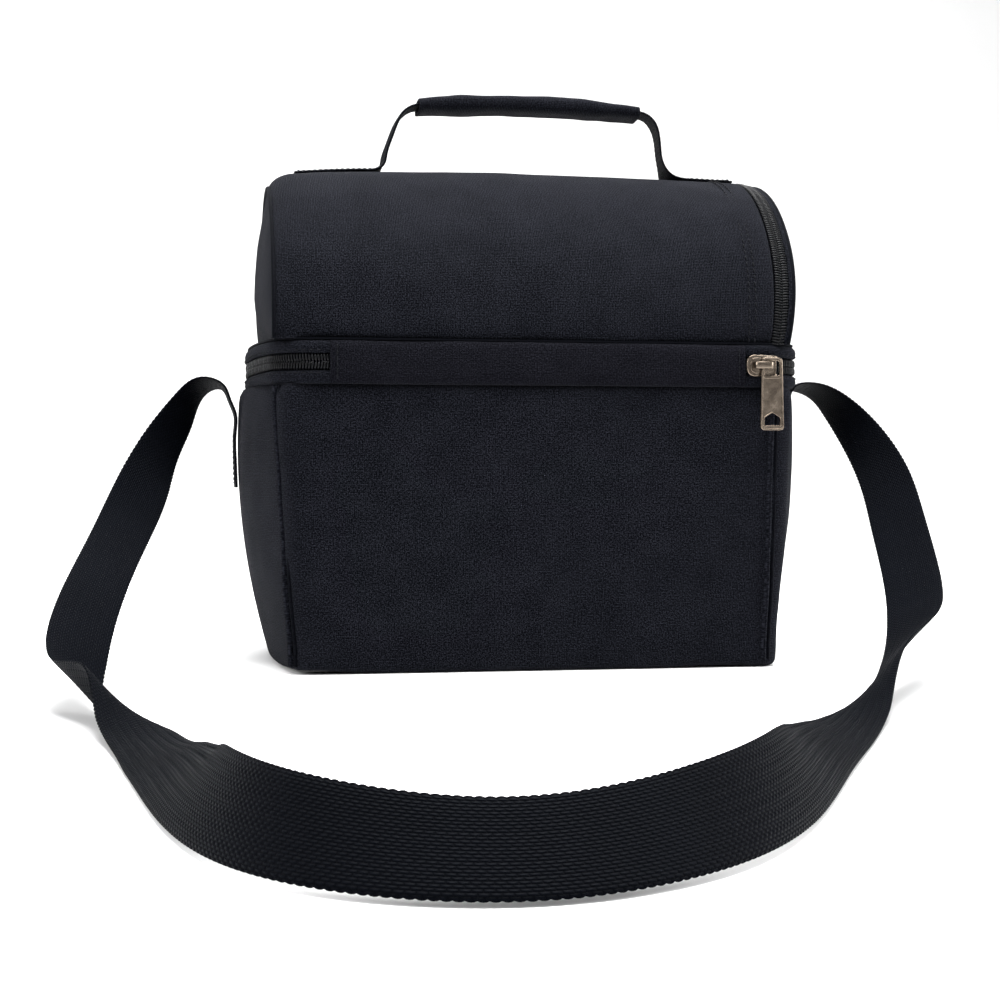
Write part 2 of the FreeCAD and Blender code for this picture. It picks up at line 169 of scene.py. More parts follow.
def webbing_material():
    """Ribbed webbing: UV runs along (u) and across (v) the strip, in metres."""
    material, add, shader = new_material("ribbed_webbing")
    uv = add("ShaderNodeTexCoord").outputs["UV"]
    split = add("ShaderNodeSeparateXYZ", {0: uv})
    row = math_node(add, "DIVIDE", split.outputs["Y"], 0.9 * MM)
    odd = math_node(add, "MODULO", math_node(add, "FLOOR", row), 2.0)
    along = math_node(add, "DIVIDE", split.outputs["X"], RIB_PITCH)
    staggered = math_node(add, "MULTIPLY_ADD", odd, 0.5, along)
    rib = math_node(add, "ABSOLUTE", math_node(add, "SINE", math_node(
        add, "MULTIPLY", staggered, math.pi)))
    thread = math_node(add, "ABSOLUTE", math_node(add, "SINE", math_node(
        add, "MULTIPLY", row, math.pi)))
    height = math_node(add, "MULTIPLY", rib, thread)
    fibre = add("ShaderNodeTexNoise", {"Vector": uv, "Scale": 2200.0, "Detail": 2.0})
    wear = add("ShaderNodeTexNoise", {"Vector": uv, "Scale": 25.0, "Detail": 4.0})
    tone = math_node(add, "MULTIPLY_ADD", wear.outputs["Fac"], 0.5, math_node(
        add, "MULTIPLY", height, 0.5))
    colour = mixed_colour(add, tone, (0.0002, 0.0003, 0.0008), (0.0034, 0.0042, 0.0066))
    relief = math_node(add, "MULTIPLY_ADD", fibre.outputs["Fac"], 0.3, height)
    bumped = add("ShaderNodeBump", {"Height": relief, "Strength": 0.9, "Distance": 0.0005})
    tree = material.node_tree
    tree.links.new(colour, shader.inputs["Base Color"])
    tree.links.new(bumped.outputs[0], shader.inputs["Normal"])
    tree.links.new(math_node(add, "MULTIPLY_ADD", height, -0.15, 0.66), shader.inputs["Roughness"])
    shader.inputs["Specular IOR Level"].default_value = 0.020
    shader.inputs["Specular Tint"].default_value = (0.84, 0.91, 1.0, 1)
    return material


def object_noise_material(name, dark, light, roughness, scale, bump, metallic=0.0, specular=0.5):
    """For moulded, filmy, foamed or metal pieces: tone and relief from noise in object space."""
    material, add, shader = new_material(name)
    place = add("ShaderNodeTexCoord").outputs["Object"]
    fine = add("ShaderNodeTexNoise", {"Vector": place, "Scale": scale, "Detail": 5.0})
    broad = add("ShaderNodeTexNoise", {"Vector": place, "Scale": scale * 0.08, "Detail": 3.0})
    tone = math_node(add, "MULTIPLY_ADD", broad.outputs["Fac"], 0.6, math_node(
        add, "MULTIPLY", fine.outputs["Fac"], 0.5))
    ramp = add("ShaderNodeMapRange", {"Value": tone, "From Min": 0.35, "From Max": 0.75})
    colour = mixed_colour(add, ramp.outputs[0], dark, light)
    rough = math_node(add, "MULTIPLY_ADD", fine.outputs["Fac"], 0.22, roughness - 0.11)
    bumped = add("ShaderNodeBump", {"Height": fine.outputs["Fac"], "Strength": bump, "Distance": 0.0004})
    tree = material.node_tree
    tree.links.new(colour, shader.inputs["Base Color"])
    tree.links.new(rough, shader.inputs["Roughness"])
    tree.links.new(bumped.outputs[0], shader.inputs["Normal"])
    shader.inputs["Metallic"].default_value = metallic
    shader.inputs["Specular IOR Level"].default_value = specular
    return material


CLOTH = fabric("shell_polyester", (0.0004, 0.0006, 0.0014), (0.0140, 0.0148, 0.0200),
               0.80 * MM, 0.02, 0.9)
STRIP_CLOTH = fabric("hinge_strip_polyester", (0.0007, 0.0007, 0.0016), (0.0110, 0.0110, 0.0150),
                     0.80 * MM, 0.02, 0.7)
# Dark trim cloth: its own colour on the piping and the divider hem, painted crease shade on the thin tubes in
# the corner seams.
TRIM_AND_CREASE_SHADE_CLOTH = fabric("binding_tape_and_crease_shade", (0.0004, 0.0005, 0.0012), (0.0040, 0.0044, 0.0064),
                    0.40 * MM, 0.01, 0.4, 0.75)
THREAD = object_noise_material("sewing_thread", (0.0016, 0.0018, 0.0028), (0.0060, 0.0066, 0.0090),
                               0.66, 1800.0, 0.3, specular=0.08)
WEBBING = webbing_material()
COIL = object_noise_material("nylon_coil", (0.0012, 0.0014, 0.0020), (0.0040, 0.0044, 0.0056),
                             0.34, 900.0, 0.12, specular=0.16)
TAPE = object_noise_material("zip_tape_weave", (0.0006, 0.0008, 0.0014), (0.0030, 0.0034, 0.0048),
                             0.82, 1500.0, 0.5, specular=0.03)
METAL = object_noise_material("antique_nickel", (0.100, 0.076, 0.058), (0.300, 0.250, 0.200),
                              0.24, 260.0, 0.08, metallic=1.0)
FILM = object_noise_material("lining_film", (0.36, 0.37, 0.39), (0.60, 0.61, 0.63), 0.33, 45.0, 0.6)
FOAM = object_noise_material("closed_cell_foam", (0.62, 0.63, 0.63), (0.86, 0.87, 0.87), 0.9, 1200.0, 0.6)
BOARD = object_noise_material("stiffener_board", (0.02, 0.02, 0.02), (0.05, 0.05, 0.05), 0.6, 300.0, 0.3)


# ---- mesh helpers -------------------------------------------------------------------

def finish_piece(obj, body, material, replaced=()):
    obj.data.materials.clear()
    obj.data.materials.append(material)
    if body:
        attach(obj, body)
    if replaced:
        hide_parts(*replaced)
    return obj


def mesh_object(name, points, faces, uvs=None):
    """uvs is one pair for each point; faces are lists of point numbers."""
    mesh = bpy.data.meshes.new(name)
    mesh.from_pydata([tuple(p) for p in points], [], faces)
    mesh.update()
    if uvs is not None:
        layer = mesh.uv_layers.new(name="UVMap")
        loops = np.empty(len(mesh.loops), dtype=np.int32)
        mesh.loops.foreach_get("vertex_index", loops)
        layer.data.foreach_set("uv", np.asarray(uvs, float)[loops].ravel())
    mesh.polygons.foreach_set("use_smooth", [True] * len(mesh.polygons))
    obj = bpy.data.objects.new(name, mesh)
    bpy.context.scene.collection.objects.link(obj)
    return obj


def grid_uv(grid):
    """Arc lengths along rows and columns, so that the weave keeps its scale."""
    du = np.linalg.norm(np.diff(grid, axis=1), axis=2).mean(axis=0)
    dv = np.linalg.norm(np.diff(grid, axis=0), axis=2).mean(axis=1)
    u = np.concatenate(([0], np.cumsum(du)))
    v = np.concatenate(([0], np.cumsum(dv)))
    return np.stack(np.broadcast_arrays(u[None, :], v[:, None]), axis=-1)


def grid_object(name, grid, closed=False):
    """A sheet through a rows x columns array of points; closed joins its last column to its first."""
    grid = np.asarray(grid, float)
    if closed:
        grid = np.concatenate((grid, grid[:, :1]), axis=1)
    rows, cols = grid.shape[:2]
    uvs = grid_uv(grid).reshape(-1, 2)
    faces = [(r * cols + c, r * cols + c + 1, (r + 1) * cols + c + 1, (r + 1) * cols + c)
             for r in range(rows - 1) for c in range(cols - 1)]
    obj = mesh_object(name, grid.reshape(-1, 3), faces, uvs)
    if closed:
        weld(obj, 1e-6)
    return obj


def weld(obj, distance):
    bm = bmesh.new()
    bm.from_mesh(obj.data)
    bmesh.ops.remove_doubles(bm, verts=bm.verts, dist=distance)
    bm.to_mesh(obj.data)
    bm.free()


def apply_modifiers(obj):
    depsgraph = bpy.context.evaluated_depsgraph_get()
    mesh = bpy.data.meshes.new_from_object(obj.evaluated_get(depsgraph))
    obj.modifiers.clear()
    obj.data = mesh
    return obj


def thicken(obj, thickness):
    """Give a sheet its thickness inward, with its normals pointing outward."""
    solid = obj.modifiers.new("thick", "SOLIDIFY")
    solid.thickness = thickness
    solid.offset = -1.0
    return apply_modifiers(obj)


def tube_mesh(name, path, radius, sides=8):
    """A round tube along a path of points, its frame carried along without twist."""
    path = np.asarray(path, float)
    count = len(path)
    ahead = np.roll(path, -1, axis=0)
    behind = np.roll(path, 1, axis=0)
    ahead[-1], behind[0] = path[-1], path[0]
    tangent = ahead - behind
    tangent /= np.linalg.norm(tangent, axis=1)[:, None]
    normal = np.cross(tangent[0], (0.3, 0.5, 0.81))
    normal /= np.linalg.norm(normal)
    rings = []
    for i in range(count):
        normal = normal - tangent[i] * normal.dot(tangent[i])
        normal /= np.linalg.norm(normal)
        side = np.cross(tangent[i], normal)
        angles = np.arange(sides) * 2 * math.pi / sides
        ring = path[i] + radius * (np.cos(angles)[:, None] * normal + np.sin(angles)[:, None] * side)
        rings.append(ring)
    points = np.concatenate(rings)
    faces = []
    for i in range(count - 1):
        a, b = i * sides, (i + 1) * sides
        for k in range(sides):
            j = (k + 1) % sides
            faces.append((a + k, a + j, b + j, b + k))
    faces.append(tuple(range(sides))[::-1])
    faces.append(tuple(range((count - 1) * sides, count * sides)))
    length = np.concatenate(([0], np.cumsum(np.linalg.norm(np.diff(path, axis=0), axis=1))))
    uvs = np.stack(np.broadcast_arrays(length[:, None], np.arange(sides)[None, :] * 0.4 * MM), axis=-1)
    return mesh_object(name, points, faces, uvs.reshape(-1, 2))


def resample(path, step):
    """Points evenly spaced along a polyline, about a step apart."""
    path = np.asarray(path, float)
    lengths = np.concatenate(([0], np.cumsum(np.linalg.norm(np.diff(path, axis=0), axis=1))))
    count = max(2, int(round(lengths[-1] / step)) + 1)
    at = np.linspace(0, lengths[-1], count)
    return np.stack([np.interp(at, lengths, path[:, k]) for k in range(3)], axis=-1)


def join(objects, name):
    """One object from several meshes."""
    bpy.ops.object.select_all(action="DESELECT")
    for obj in objects:
        obj.select_set(True)
    bpy.context.view_layer.objects.active = objects[0]
    bpy.ops.object.join()
    objects[0].name = name
    return objects[0]


def stitches(name, path, lift, body, step=STITCH_STEP):
    """A row of thread stitches along a path; lift is the direction out of the cloth at each point."""
    track = resample(path, step)
    outward = resample_directions(path, lift, len(track))
    points = []
    faces = []
    sides = 6
    profile = ((-0.5, 0.25, -0.10), (-0.32, 0.85, 0.10), (0.0, 1.0, 0.20), (0.32, 0.85, 0.10),
               (0.5, 0.25, -0.10))
    for i in range(len(track) - 1):
        centre = (track[i] + track[i + 1]) / 2
        along = track[i + 1] - track[i]
        along /= np.linalg.norm(along)
        out = outward[i] / np.linalg.norm(outward[i])
        across = np.cross(along, out)
        start = len(points)
        for place, size, height in profile:
            ring = centre + along * place * STITCH_LENGTH + out * height * MM
            for k in range(sides):
                angle = 2 * math.pi * k / sides
                points.append(ring + size * 0.34 * MM * (math.cos(angle) * across + math.sin(angle) * out))
        for r in range(len(profile) - 1):
            a, b = start + r * sides, start + (r + 1) * sides
            for k in range(sides):
                j = (k + 1) % sides
                faces.append((a + k, a + j, b + j, b + k))
        faces.append(tuple(range(start + sides - 1, start - 1, -1)))
        end = start + (len(profile) - 1) * sides
        faces.append(tuple(range(end, end + sides)))
    obj = mesh_object(name, points, faces)
    return finish_piece(obj, body, THREAD)


def resample_directions(path, lift, count):
    lift = np.asarray(lift, float)
    if lift.ndim == 1:
        return np.tile(lift, (count, 1))
    at = np.linspace(0, len(path) - 1, count)
    return np.stack([np.interp(at, np.arange(len(path)), lift[:, k]) for k in range(3)], axis=-1)


def cloth_noise(grid, size, amount, seed):
    """Soft hand-sewn unevenness: a smooth random offset for each point."""
    shape = grid.shape[:-1]
    flat = grid.reshape(-1, 3)
    values = [noise.noise(Vector(p) / size + Vector((seed, 0, 0))) for p in flat]
    return np.array(values).reshape(shape) * amount


# ---- outlines ---------------------------------------------------------------------------

def outline(shape, inset=0.0, flat_count=40, corner_count=10, end_count=28):
    """Closed ring of (x, y) points and outward directions, counterclockwise from the middle of -Y."""
    half_width, half_depth, bulge, corner = shape
    end_radius = (half_depth ** 2 + bulge ** 2) / (2 * bulge)
    centre = half_width + bulge - end_radius
    depth = half_depth - inset
    end_r = end_radius - inset
    corner_r = max(corner - inset, 1.0 * MM)
    corner_x = centre + math.sqrt((end_r - corner_r) ** 2 - (depth - corner_r) ** 2)
    turn = math.asin((depth - corner_r) / (end_r - corner_r))
    points = []
    normals = []
    for t in np.linspace(0, 1, flat_count, endpoint=False):
        points.append((corner_x * t, -depth))
        normals.append((0, -1))
    for angle in np.linspace(-math.pi / 2, -turn, corner_count, endpoint=False):
        across = corner_x + corner_r * math.cos(angle)
        points.append((across, -(depth - corner_r) + corner_r * math.sin(angle)))
        normals.append((math.cos(angle), math.sin(angle)))
    for angle in np.linspace(-turn, 0, end_count):
        points.append((centre + end_r * math.cos(angle), end_r * math.sin(angle)))
        normals.append((math.cos(angle), math.sin(angle)))
    quarter = np.array(points)
    quarter_n = np.array(normals)
    flips = (((1, 1), 1), ((1, -1), -1), ((-1, -1), 1), ((-1, 1), -1))
    ring = []
    ring_n = []
    for flip, order in flips:
        part = (quarter * flip)[::order]
        part_n = (quarter_n * flip)[::order]
        ring.append(part[:-1])
        ring_n.append(part_n[:-1])
    return np.concatenate(ring), np.concatenate(ring_n)


def body_shape(z):
    """The walls' outline at a height: a smooth curve through base, belly and shoulder."""
    top = BAND_Z0 + 5 * MM
    t = z / top
    m = BELLY_Z / top
    base_share = (t - m) * (t - 1) / m
    belly_share = t * (t - 1) / (m * (m - 1))
    top_share = t * (t - m) / (1 - m)
    return base_share * BASE_OUTLINE + belly_share * BELLY_OUTLINE + top_share * SHOULDER_OUTLINE


# ---- lower body -----------------------------------------------------------------------------

def lower_body():
    """One lofted shell: walls that belly out over their foam, turned under into the base."""
    top = BAND_Z0 + 0.6 * MM
    round_r = 3.2 * MM
    rows = []
    heights = np.concatenate((round_r * (1 - np.cos(np.linspace(0.25, math.pi / 2, 7))),
                              np.linspace(round_r, top, 46)[1:]))
    for z in heights:
        shape = body_shape(z)
        under = max(round_r - z, 0.0)
        inset = round_r - math.sqrt(round_r ** 2 - under ** 2)
        ring, normal = outline(shape, inset)
        tuck = 1.6 * MM * max(0.0, (z - (top - 5 * MM)) / (5 * MM)) ** 2
        flat = np.abs(normal[:, 1]) ** 6
        span = np.clip(1 - (ring[:, 0] / shape[0]) ** 2, 0, 1)
        belly = 2.2 * MM * math.sin(math.pi * min(z / top, 1.0)) * span * flat
        offset = belly - tuck
        rows.append(np.column_stack((ring + normal * offset[:, None], np.full(len(ring), z))))
    first = rows[0]
    for share in (0.985, 0.95, 0.80, 0.55, 0.25, 0.02):
        floor = first.copy()
        floor[:, :2] = first[:, :2] * share
        floor[:, 2] = (0.8 if share > 0.9 else 0.3) * MM
        rows.insert(0, floor)
    grid = np.array(rows)
    ring, normal = outline(BELLY_OUTLINE)
    outward = np.column_stack((normal, np.zeros(len(normal))))
    crumple = cloth_noise(grid, 0.045, 1.5 * MM, 3.0) + cloth_noise(grid, 0.016, 0.45 * MM, 9.0)
    fade = np.clip((grid[:, :, 2] - 2 * MM) / (8 * MM), 0, 1)
    fade = fade * np.clip((top - grid[:, :, 2]) / (6 * MM), 0, 1)
    under_strap = np.exp(-(grid[:, :, 1] / (16 * MM)) ** 4) * (np.abs(grid[:, :, 0]) > 0.1)
    fade = fade * (1 - under_strap)
    grid += outward[None, :, :] * (crumple * fade)[:, :, None]
    waves = np.clip(cloth_noise(grid, 0.050, 3.2 * MM, 71.0), 0, 1.4 * MM)
    grid[:, :, 2] += waves * np.clip(1 - grid[:, :, 2] / (16 * MM), 0, 1)
    obj = grid_object("lower_body_shell", grid, closed=True)
    flip_outward(obj, Vector((0, 0, 0.07)))
    thicken(obj, 1.0 * MM)
    finish_piece(obj, "base", CLOTH, (
        "hinge_side_panel", "far_side_panel", "left_gusset", "right_gusset", "bottom_panel"))


def flip_outward(obj, inside):
    """Turn the faces of a star-shaped shell so that they point away from a point inside it."""
    mesh = obj.data
    score = 0.0
    for polygon in list(mesh.polygons)[::17]:
        score += polygon.normal.dot(polygon.center - inside) * polygon.area
    if score < 0:
        mesh.flip_normals()


def corner_folds():
    """The corner seams of the lower body: a turned fold standing beside a thin dark tube, painted shade in the
    crease next to the fold.

    On the hinge side both seams sit a few millimetres to the left of the corners they follow.
    """
    folds = []
    painted_shadow_tubes = []
    for side_x in (-1, 1):
        for side_y in (-1, 1):
            fold = []
            crease_shadow = []
            for z in np.linspace(3.4 * MM, BAND_Z0 - 0.5 * MM, 40):
                shape = body_shape(z)
                wave = noise.noise(Vector((side_x, side_y, z * 40))) * 0.5 * MM
                shift = 0.0
                if side_y < 0:
                    shift = 2.4 * MM + 2.4 * MM * z / BAND_Z0
                x, y = corner_point(shape, side_x, side_y, shift, wave)
                crease_shadow.append((x, y, z))
                x, y = corner_point(shape, side_x, side_y, shift + 2.6 * MM, wave)
                fold.append((x, y, z))
            # The dark tube is painted shade: it stands for the shadow the fold casts into the crease beside it.
            painted_shadow_tubes.append(tube_mesh("crease_shadow", crease_shadow, 0.85 * MM, 8))
            folds.append(tube_mesh("fold", fold, 1.6 * MM, 10))
    finish_piece(join(folds, "corner_seam_folds_cloth"), "base", CLOTH,
                 ("corner_seam_folds",))
    finish_piece(join(painted_shadow_tubes, "corner_seam_painted_shade_lines"), "base", TRIM_AND_CREASE_SHADE_CLOTH)


def corner_point(shape, side_x, side_y, shift, wave):
    """A point on a rounded corner of the body, moved a little towards -X along its outline."""
    x = side_x * (shape[0] - 1.2 * MM) + wave
    y = shape[1] - 0.9 * MM
    if side_x < 0:
        x -= 0.72 * shift
        y -= 0.95 * shift
    else:
        x -= 1.10 * shift
        y += 0.16 * min(shift, 5 * MM)
    return x, side_y * y


# ---- band and main zip ------------------------------------------------------------------------

def band_ring_path():
    """The band's outline from the left end of the hinge strip, round the far side, to its right end."""
    ring, normal = outline(BAND_OUTLINE, flat_count=60, corner_count=24, end_count=60)
    ring = np.concatenate((ring, ring[:1]))
    normal = np.concatenate((normal, normal[:1]))
    near = ring[:, 1] < -BAND_OUTLINE[1] + 0.1 * MM
    keep = ~(near & (ring[:, 0] > HINGE_X0) & (ring[:, 0] < HINGE_X1))
    ring, normal = ring[keep], normal[keep]
    start = (HINGE_X1, -BAND_OUTLINE[1])
    end = (HINGE_X0, -BAND_OUTLINE[1])
    split = int(np.argmax(np.linalg.norm(np.diff(ring, axis=0), axis=1)))
    if np.linalg.norm(ring[split + 1] - ring[split]) > 0.05:
        ring = np.concatenate((ring[split + 1:], ring[:split + 1]))
        normal = np.concatenate((normal[split + 1:], normal[:split + 1]))
    ring = np.concatenate(([start], ring, [end]))
    normal = np.concatenate(([(0, -1)], normal, [(0, -1)]))
    return ring, normal


def profile_ring(name, profile, ring, normal, seed):
    """Sweep a (outward, height) profile along the band."""
    grid = np.array([np.column_stack((ring + normal * out, np.full(len(ring), z))) for out, z in profile])
    grid[:, :, 2] += cloth_noise(grid, 0.03, BAND_SAG, seed)
    return grid_object(name, grid)


BAND_BULGE = ((-1.6, 0.0), (-0.2, 0.4), (0.9, 1.5), (1.35, 3.0), (1.2, 4.6), (0.75, 5.6), (0.1, 6.0),
              (-0.7, 5.9), (-1.2, 5.2))


def band():
    ring, normal = band_ring_path()
    lower = [(out * MM, BAND_Z0 + up * MM) for out, up in BAND_BULGE]
    upper = [(out * MM, BAND_Z1 - up * MM) for out, up in reversed(BAND_BULGE)]
    for name, body, profile, node, seed in (("lower_band_cloth", "base", lower, "lower_band", 1.0),
                                            ("upper_band_cloth", "lid", upper, "upper_band", 2.0)):
        obj = profile_ring(name, profile, ring, normal, seed)
        flip_outward(obj, Vector((0, 0, ZIP_Z)))
        thicken(obj, 0.7 * MM)
        finish_piece(obj, body, CLOTH, (node,))
    outward = np.column_stack((normal, np.zeros(len(normal))))
    for name, body, z in (("lower_band_stitches", "base", BAND_Z0 + 4.9 * MM),
                          ("upper_band_stitches", "lid", BAND_Z1 - 4.9 * MM)):
        path = np.column_stack((ring + normal * 1.05 * MM, np.full(len(ring), z)))
        stitches(name, path[3:-3], outward[3:-3], body)
    hinge_strip()


def hinge_strip():
    """The plain strip that joins lid and body, its two ends turned under and stitched."""
    profile = ((-1.6, 0), (-0.1, 0.35), (0.9, 1.4), (1.45, 3.4), (1.6, 6.5), (1.6, 10), (1.6, 13.5),
               (1.45, 16.6), (0.9, 18.6), (-0.1, 19.65), (-1.6, 20))
    xs = np.linspace(HINGE_X0 + 0.2 * MM, HINGE_X1 - 0.2 * MM, 120)
    grid = []
    for out, up in profile:
        end_fold = np.clip(1 - (xs - xs[0]) / (2 * MM), 0, 1) + np.clip(1 - (xs[-1] - xs) / (2 * MM), 0, 1)
        y = -BAND_DEPTH - (out + 0.35 * end_fold) * MM
        grid.append(np.column_stack((xs, y, np.full(len(xs), BAND_Z0 + up * MM))))
    grid = np.array(grid)
    grid[:, :, 1] += cloth_noise(grid, 0.02, 0.7 * MM, 5.0)
    obj = grid_object("hinge_strip_cloth", grid)
    flip_outward(obj, Vector((0, 0, ZIP_Z)))
    thicken(obj, 0.9 * MM)
    finish_piece(obj, None, STRIP_CLOTH, ("hinge_strip_lower", "hinge_strip_upper"))
    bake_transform(obj)
    for name, x in (("hinge_strip_stitches_left", HINGE_X0 + 3.2 * MM),
                    ("hinge_strip_stitches_right", HINGE_X1 - 3.2 * MM)):
        path = [(x, -BAND_DEPTH - 1.75 * MM, BAND_Z0 + up * MM) for up in np.linspace(2, 18, 12)]
        row = stitches(name, path, (0, -1, 0), None, 2.9 * MM)
        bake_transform(row)


def coil(name, path, outward, across, body, node):
    """One row of nylon coil: a flattened spiral whose heads interlock with the other row's."""
    steps = 10
    track = resample(path, COIL_PITCH / steps)
    out = resample_directions(path, outward, len(track))
    side = resample_directions(path, across, len(track))
    turn = np.arange(len(track)) * 2 * math.pi / steps
    width = COIL_WIDTH / 2
    swing = np.cos(turn)
    swing = np.sign(swing) * np.abs(swing) ** 0.75
    spiral = track + side * (width * swing)[:, None] + out * (0.75 * MM * np.sin(turn))[:, None]
    obj = tube_mesh(name, spiral, 0.40 * MM, 6)
    return finish_piece(obj, body, COIL, (node,))


def main_zip():
    ring, normal = band_ring_path()
    outward = np.column_stack((normal, np.zeros(len(normal))))
    for name, body, direction, node in (("main_zip_lower_coil", "base", -1, "lower_zip_coil"),
                                        ("main_zip_upper_coil", "lid", 1, "upper_zip_coil")):
        middle = ZIP_Z + direction * (COIL_GAP + COIL_WIDTH / 2)
        path = np.column_stack((ring + normal * -0.1 * MM, np.full(len(ring), middle)))
        fine = resample(path, 1 * MM)
        lift = resample_directions(path, outward, len(fine))
        coil(name, fine, lift, (0, 0, float(direction)), body, node)
        line = np.column_stack((ring - normal * 1.0 * MM, np.full(len(ring), ZIP_Z + direction * 4.4 * MM)))
        stitches(name.replace("coil", "tape_stitches"), line, outward, body, 2.6 * MM)
    for node in ("lower_zip_tape", "upper_zip_tape"):
        paint(node, TAPE)


def paint(node, material):
    """A CAD node that stays gets its material here."""
    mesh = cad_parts[node].data
    mesh.materials.clear()
    mesh.materials.append(material)


# ---- dome ----------------------------------------------------------------------------------------

def end_drop(x):
    """How far the barrel's crown falls towards its two rounded ends; it swells in the middle."""
    drop = -1.5 * MM * max(1 - (x / (105 * MM)) ** 2, 0)
    for distance, reach, depth in ((x - SEAM_LEFT, 52 * MM, 2.6 * MM), (FLAP_SEAM - x, 14 * MM, 2.6 * MM)):
        drop += depth * max(1 - max(distance, 0) / reach, 0) ** 2
    corner = max(1 - max(x - SEAM_LEFT, 0) / (11 * MM), 0)
    return drop + 7.0 * MM * (1 - math.sqrt(1 - min(corner, 0.995) ** 2))


def arch_rows(x, lift=0.0, count=72):
    """Points over the dome at x, from the far side's foot to the hinge side's, and outward directions.

    lift moves them out of the dome. The ends drop most at the crown, and on the hinge side
    their feet are pulled in towards the middle.
    """
    points = []
    outs = []
    for angle in (-0.03, *np.linspace(0, math.pi, count), math.pi + 0.03):
        c, s = math.cos(angle), math.sin(angle)
        radius = DOME_R + lift - end_drop(x) * (0.10 + 0.90 * max(s, 0) ** 1.3)
        z = DOME_AXIS_Z + radius * s
        out = (0, c, max(s, 0))
        if s < 0:
            z = DOME_Z0 - 0.8 * MM
        low = max(1 - (z - DOME_Z0) / (50 * MM), 0) ** 2 * max(-c, 0)
        pull = 4.6 * MM * low * (max(x, 0) / 0.12) ** 6
        points.append((x - pull, radius * c, z))
        outs.append(out)
    return np.array(points), np.array(outs)


def dome_barrel():
    cloth_end = DOME_ZIP_X - 4.2 * MM
    xs = np.concatenate((SEAM_LEFT + 20 * MM * np.linspace(0, 1, 22) ** 2,
                         np.linspace(SEAM_LEFT + 20 * MM, cloth_end - 22 * MM, 60)[1:],
                         np.linspace(cloth_end - 22 * MM, cloth_end, 14)[1:]))
    grid = np.array([arch_rows(x, 0.3 * MM)[0] for x in xs])
    outs = arch_rows(0.0)[1]
    crumple = cloth_noise(grid, 0.050, 1.5 * MM, 21.0) + cloth_noise(grid, 0.018, 0.45 * MM, 27.0)
    edge = np.clip((xs - xs[0]) / (10 * MM), 0, 1) * np.clip((xs[-1] - xs) / (10 * MM), 0, 1)
    under_tabs = np.exp(-(grid[:, :, 1] / (17 * MM)) ** 4) * (grid[:, :, 2] > DOME_AXIS_Z + 0.05)
    crumple = crumple * edge[:, None] * (1 - under_tabs)
    grid += outs[None, :, :] * crumple[:, :, None]
    foot = np.zeros(grid.shape[1])
    foot[[0, -1]] = -1.4 * MM
    foot[[1, -2]] = -0.4 * MM
    grid += outs[None, :, :] * foot[None, :, None]
    turned = grid[-1:].copy() - outs[None, :, :] * 1.1 * MM
    turned[:, :, 0] -= 1.5 * MM
    grid = np.concatenate((grid, turned))
    obj = grid_object("dome_cloth", grid)
    flip_outward(obj, Vector((0, 0, DOME_AXIS_Z)))
    thicken(obj, 0.8 * MM)
    finish_piece(obj, "lid", CLOTH, ("dome_panel",))
    for offset in (0.0, 3.2 * MM):
        x = cloth_end - 9.5 * MM - offset
        points, outs = arch_rows(x, 0.45 * MM)
        stitches("dome_edge_stitches_%d" % round(offset / MM), points, outs, "lid")


def end_panel(name, seam_x, outer_x, body, node, seed, top_fill, foot_fill):
    """A D-shaped end, filled out like a pillow from its seam; less at its top and its foot."""
    side = 1 if outer_x > seam_x else -1
    depth = abs(outer_x - seam_x)
    centre_z = DOME_Z0 + 0.40 * (DOME_TOP - DOME_Z0)
    edge = arch_rows(seam_x, 0.1 * MM)[0]
    foot = [edge[-1] + (edge[0] - edge[-1]) * t for t in np.linspace(0, 1, 30)[1:-1]]
    edge = np.concatenate((edge, np.array(foot)))
    centre = np.array((seam_x, 0.0, centre_z))
    rows = []
    for t in (1.0, 0.99, 0.97, 0.94, 0.90, 0.85, 0.78, 0.70, 0.60, 0.48, 0.36, 0.24, 0.12, 0.04, 0.004):
        ring = centre + (edge - centre) * t
        rise = (ring[:, 2] - DOME_Z0) / (DOME_TOP - DOME_Z0)
        fill = 1 - (1 - top_fill) * np.clip((rise - 0.42) / 0.45, 0, 1) ** 1.3
        fill -= (1 - foot_fill) * np.clip(1 - rise / 0.30, 0, 1) ** 1.5
        lift = depth * (1 - t ** 2.6) ** 0.62 * fill
        ring[:, 0] = seam_x + side * lift + (edge[:, 0] - seam_x) * t ** 2
        rows.append(ring)
    grid = np.array(rows)
    crumple = cloth_noise(grid, 0.035, 1.3 * MM, seed) + cloth_noise(grid, 0.014, 0.4 * MM, seed + 5)
    fade = np.linspace(0, 1, len(rows)) ** 0.5
    grid[:, :, 0] += side * crumple * fade[:, None]
    obj = grid_object(name, grid, closed=True)
    project_uv(obj)
    flip_outward(obj, Vector((0, 0, centre_z)))
    thicken(obj, 0.8 * MM)
    finish_piece(obj, body, CLOTH, (node,))


def project_uv(obj):
    """Flat UVs, in metres, for a panel that faces along X."""
    layer = obj.data.uv_layers.active
    for loop in obj.data.loops:
        co = obj.data.vertices[loop.vertex_index].co
        layer.data[loop.index].uv = (co.y, co.z)


def piping(name, x, body, node, lift):
    obj = tube_mesh(name, arch_rows(x, lift)[0], 1.15 * MM, 10)
    finish_piece(obj, body, TRIM_AND_CREASE_SHADE_CLOTH, (node,))


